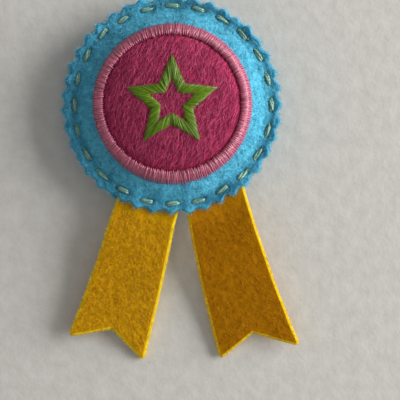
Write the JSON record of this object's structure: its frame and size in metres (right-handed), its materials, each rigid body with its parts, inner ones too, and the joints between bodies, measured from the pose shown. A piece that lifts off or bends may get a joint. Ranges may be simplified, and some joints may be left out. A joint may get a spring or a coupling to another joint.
{
  "type": "award ribbon",
  "caption": "Stuffed felt rosette with a pinked edge, a stitched round patch with a star, two notched felt tails and a locking brooch pin on its back.",
  "frame": {"origin": "centre of the bounding box's base, on the surface that the ribbon lies on", "axes": "+X to the right as seen from the front, +Y towards the head's top, +Z out of the face"},
  "size_m": [0.061, 0.094, 0.0151],
  "materials": {
    "blue_felt": "matt felt",
    "magenta_felt": "matt felt",
    "yellow_felt": "matt felt",
    "pink_thread": "satin thread",
    "green_thread": "satin thread",
    "sage_thread": "stranded cotton",
    "bobbin_thread": "fine thread",
    "sewing_thread": "sewing thread",
    "backing": "non-woven backing",
    "filling": "loose fibre filling",
    "bar_steel": "nickel-plated, satin",
    "pin_steel": "bright drawn wire"
  },
  "bodies": {
    "head": {"front_felt": "blue_felt", "back_felt": "blue_felt", "stuffing": "filling", "stabiliser": "backing", "bobbin_stitching": "bobbin_thread", "patch_felt": "magenta_felt", "patch_border": "pink_thread", "star_motif": "green_thread", "rim_stitch_front": "sage_thread", "rim_stitch_back": "sage_thread", "rim_knot": "sage_thread", "left_tail_tab": "yellow_felt", "right_tail_tab": "yellow_felt", "brooch_bar": "bar_steel", "hinge_rivet": "bar_steel", "bar_stitches": "sewing_thread"},
    "left_tail": {"left_tail": "yellow_felt"},
    "right_tail": {"right_tail": "yellow_felt"},
    "pin": {"pin_stem": "pin_steel"},
    "catch": {"catch_roller": "bar_steel"}
  },
  "joints": [
    {"name": "left_tail_flex", "type": "hinge", "parent": "head", "child": "left_tail", "pos_m": [-0.00932, -0.01018, 0.00662], "axis": [-0.9588, 0.284, 0], "range_deg": [-25, 60], "stiffness_Nm_per_rad": 0.003},
    {"name": "right_tail_flex", "type": "hinge", "parent": "head", "child": "right_tail", "pos_m": [0.00967, -0.00888, 0.00662], "axis": [-0.9588, -0.284, 0], "range_deg": [-25, 60], "stiffness_Nm_per_rad": 0.003},
    {"name": "pin_hinge", "type": "hinge", "parent": "head", "child": "pin", "pos_m": [-0.01346, 0.02448, 0.00157], "axis": [0, 1, 0], "range_deg": [0, 75]},
    {"name": "catch_turn", "type": "hinge", "parent": "head", "child": "catch", "pos_m": [0.00947, 0.02448, 0.00157], "axis": [1, 0, 0], "range_deg": [0, 100]}
  ]
}
